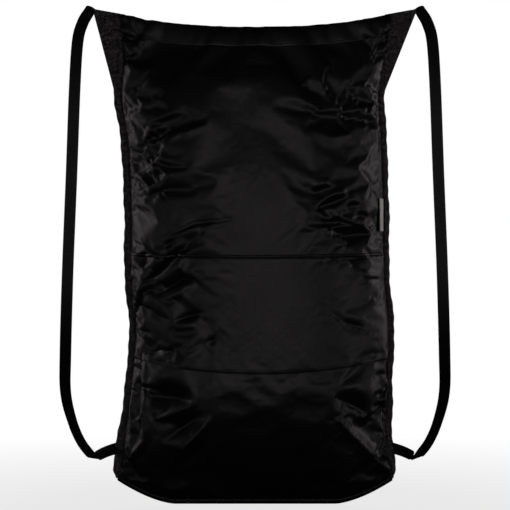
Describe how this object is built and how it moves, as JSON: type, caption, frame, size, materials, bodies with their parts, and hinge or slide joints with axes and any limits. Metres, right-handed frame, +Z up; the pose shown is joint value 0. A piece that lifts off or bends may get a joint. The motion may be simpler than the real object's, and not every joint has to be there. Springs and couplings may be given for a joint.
{
  "type": "drawstring backpack",
  "caption": "Tall soft sack with a patch pocket, a hemmed mouth with triangular corner wings, and flat webbing strap loops that draw it shut and sew into the side seams.",
  "frame": {"origin": "middle of the flat underside of the bottom seam, in the plane of the side seams", "axes": "+Z up towards the mouth, -Y out of the front with the pocket, +X towards the seam with the label"},
  "size_m": [0.4708, 0.14, 0.595],
  "materials": {
    "shell_fabric": "thin black ripstop nylon with a soft sheen",
    "webbing": "flat black woven webbing",
    "binding_tape": "coarse black woven tape with light flecks",
    "thread": "black sewing thread",
    "label": "blank white woven satin"
  },
  "bodies": {
    "shell": {"front_panel": "shell_fabric", "back_panel": "shell_fabric", "front_hem": "shell_fabric", "back_hem": "shell_fabric", "front_draw_tape": "webbing", "back_draw_tape": "webbing", "side_binding_left": "binding_tape", "side_binding_right": "binding_tape", "bottom_binding": "binding_tape"},
    "left_wing": {"wing_left": "binding_tape", "wing_tack_left": "thread"},
    "right_wing": {"wing_right": "binding_tape", "wing_tack_right": "thread"},
    "left_anchor": {"anchor_tack_left": "thread"},
    "right_anchor": {"anchor_tack_right": "thread"},
    "left_strap": {"strap_left": "webbing"},
    "right_strap": {"strap_right": "webbing"},
    "pocket": {"front_pocket": "shell_fabric"},
    "label": {"side_label": "label"}
  },
  "joints": [
    {"name": "mouth_cinch", "type": "slide", "parent": "shell", "child": "left_wing", "axis": [1, 0, 0], "range_m": [0, 0.028]},
    {"name": "right_wing_cinch", "type": "slide", "parent": "shell", "child": "right_wing", "axis": [-1, 0, 0], "range_m": [0, 0.028]},
    {"name": "left_strap_follow", "type": "hinge", "parent": "shell", "child": "left_anchor", "pos_m": [-0.17, 0, 0.066], "axis": [0, 1, 0], "range_deg": [0, 3.1]},
    {"name": "right_strap_follow", "type": "hinge", "parent": "shell", "child": "right_anchor", "pos_m": [0.17, 0, 0.066], "axis": [0, -1, 0], "range_deg": [0, 3.1]},
    {"name": "left_strap_swing", "type": "hinge", "parent": "left_anchor", "child": "left_strap", "pos_m": [-0.17, 0, 0.066], "axis": [-0.0532, 0, 0.9986], "range_deg": [-95, 95]},
    {"name": "right_strap_swing", "type": "hinge", "parent": "right_anchor", "child": "right_strap", "pos_m": [0.17, 0, 0.066], "axis": [0.0532, 0, 0.9986], "range_deg": [-95, 95]},
    {"name": "pocket_gape", "type": "hinge", "parent": "shell", "child": "pocket", "pos_m": [0, -0.0715, 0.162], "axis": [1, 0, 0], "range_deg": [0, 5]},
    {"name": "label_swing", "type": "hinge", "parent": "shell", "child": "label", "pos_m": [0.1535, -0.0019, 0.328], "axis": [0, 0, 1], "range_deg": [-6, 100]}
  ],
  "couplings": [
    {"joint": "right_wing_cinch", "follows": "mouth_cinch", "ratio": 1},
    {"joint": "left_strap_follow", "follows": "mouth_cinch", "rad_per_m": 1.9},
    {"joint": "right_strap_follow", "follows": "mouth_cinch", "rad_per_m": 1.9}
  ]
}
